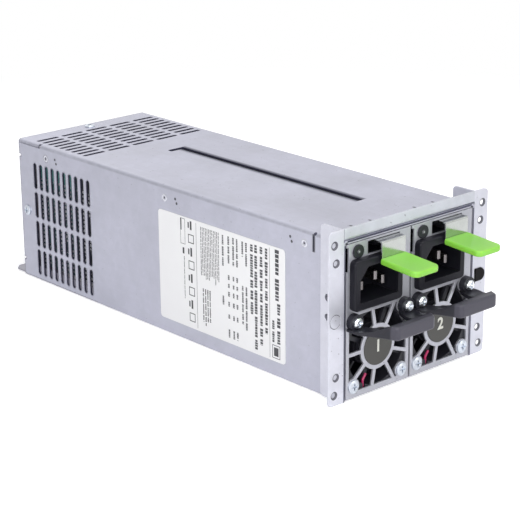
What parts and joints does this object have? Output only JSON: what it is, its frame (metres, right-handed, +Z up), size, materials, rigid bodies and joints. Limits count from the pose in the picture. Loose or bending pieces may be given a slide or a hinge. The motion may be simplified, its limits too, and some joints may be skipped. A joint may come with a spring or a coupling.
{
  "type": "hot swap server power supply",
  "caption": "Steel bay that holds pull-out mains power modules side by side, each with a fan, inlet, handle and green release latch, and mounting ears.",
  "frame": {"origin": "middle of the underside of the main box: midway between the side walls and between the face of the ears and the rear edge of the side walls", "axes": "+X to the right seen from the front, +Y from the front to the rear, +Z up"},
  "size_m": [0.1066, 0.2934, 0.084],
  "materials": {
    "galvanised_shell": "galvanised sheet, satin with faint spangle",
    "galvanised_front": "galvanised sheet, satin",
    "galvanised_inner": "galvanised sheet, satin",
    "bright_steel": "polished spring steel",
    "zinc_screw": "bright zinc plated",
    "black_plastic": "moulded, satin",
    "inlet_plastic": "moulded, semi-gloss",
    "fan_plastic": "moulded, satin",
    "black_rubber": "matt",
    "green_plastic": "moulded, semi-gloss",
    "plated_brass": "nickel plated",
    "copper": "bare copper",
    "circuit_board": "solder mask over glass laminate",
    "small_parts": "enamelled copper windings",
    "capacitor_sleeve": "shrink sleeve",
    "ferrite": "ferrite core with taped winding",
    "sink_aluminium": "extruded, plain",
    "label_film": "printed film, matt",
    "hub_film": "printed film, matt",
    "light_lens": "diffused lens",
    "red_lead": "flexible insulation"
  },
  "bodies": {
    "chassis": {"chassis_shell": "galvanised_shell", "chassis_base": "galvanised_inner", "rear_panel": "galvanised_inner", "cable_grommet": "black_rubber", "bracket_left": "galvanised_front", "bracket_right": "galvanised_front", "front_lip": "galvanised_front", "bay_header": "galvanised_inner", "bay_divider": "galvanised_inner", "chassis_screws": "zinc_screw", "rating_label": "label_film", "backplane_board": "circuit_board", "backplane_sockets": "black_plastic", "rear_board": "circuit_board", "rear_board_parts": "small_parts", "output_capacitors": "capacitor_sleeve", "busbars": "copper", "alarm_buzzer": "black_plastic", "reset_switch": "black_plastic"},
    "reset_button": {"reset_button": "black_plastic"},
    "module_1": {"module_1_housing": "galvanised_inner", "module_1_cover": "galvanised_inner", "module_1_face_plate": "galvanised_front", "module_1_hub_disc": "hub_film", "module_1_inlet_body": "inlet_plastic", "module_1_inlet_pins": "plated_brass", "module_1_handle": "black_plastic", "module_1_handle_screws": "zinc_screw", "module_1_fan_screws": "zinc_screw", "module_1_fan_frame": "fan_plastic", "module_1_fan_lead": "red_lead", "module_1_light_holder": "black_plastic", "module_1_light_lens": "light_lens", "module_1_board": "circuit_board", "module_1_bulk_capacitors": "capacitor_sleeve", "module_1_transformer": "ferrite", "module_1_heat_sinks": "sink_aluminium"},
    "latch_1": {"module_1_latch_strip": "bright_steel", "module_1_latch_tab": "green_plastic"},
    "rotor_1": {"module_1_fan_rotor": "fan_plastic"},
    "module_2": {"module_2_housing": "galvanised_inner", "module_2_cover": "galvanised_inner", "module_2_face_plate": "galvanised_front", "module_2_hub_disc": "hub_film", "module_2_inlet_body": "inlet_plastic", "module_2_inlet_pins": "plated_brass", "module_2_handle": "black_plastic", "module_2_handle_screws": "zinc_screw", "module_2_fan_screws": "zinc_screw", "module_2_fan_frame": "fan_plastic", "module_2_fan_lead": "red_lead", "module_2_light_holder": "black_plastic", "module_2_light_lens": "light_lens", "module_2_board": "circuit_board", "module_2_bulk_capacitors": "capacitor_sleeve", "module_2_transformer": "ferrite", "module_2_heat_sinks": "sink_aluminium"},
    "latch_2": {"module_2_latch_strip": "bright_steel", "module_2_latch_tab": "green_plastic"},
    "rotor_2": {"module_2_fan_rotor": "fan_plastic"}
  },
  "joints": [
    {"name": "module_1_slide", "type": "slide", "parent": "chassis", "child": "module_1", "axis": [0, -1, 0], "range_m": [0, 0.18]},
    {"name": "latch_1_press", "type": "hinge", "parent": "module_1", "child": "latch_1", "pos_m": [-0.017, -0.07925, 0.0746], "axis": [1, 0, 0], "range_deg": [0, 3], "stiffness_Nm_per_rad": 1.2, "springref_deg": -3.44},
    {"name": "fan_1_spin", "type": "hinge", "parent": "module_1", "child": "rotor_1", "pos_m": [-0.0214, -0.11325, 0.0222], "axis": [0, 1, 0], "continuous": true},
    {"name": "module_2_slide", "type": "slide", "parent": "chassis", "child": "module_2", "axis": [0, -1, 0], "range_m": [0, 0.18]},
    {"name": "latch_2_press", "type": "hinge", "parent": "module_2", "child": "latch_2", "pos_m": [0.0258, -0.07925, 0.0746], "axis": [1, 0, 0], "range_deg": [0, 3], "stiffness_Nm_per_rad": 1.2, "springref_deg": -3.44},
    {"name": "fan_2_spin", "type": "hinge", "parent": "module_2", "child": "rotor_2", "pos_m": [0.0214, -0.11325, 0.0222], "axis": [0, 1, 0], "continuous": true},
    {"name": "reset_press", "type": "slide", "parent": "chassis", "child": "reset_button", "axis": [0, 1, 0], "range_m": [0, 0.0012], "stiffness_N_per_m": 300, "springref_m": -0.0006}
  ]
}
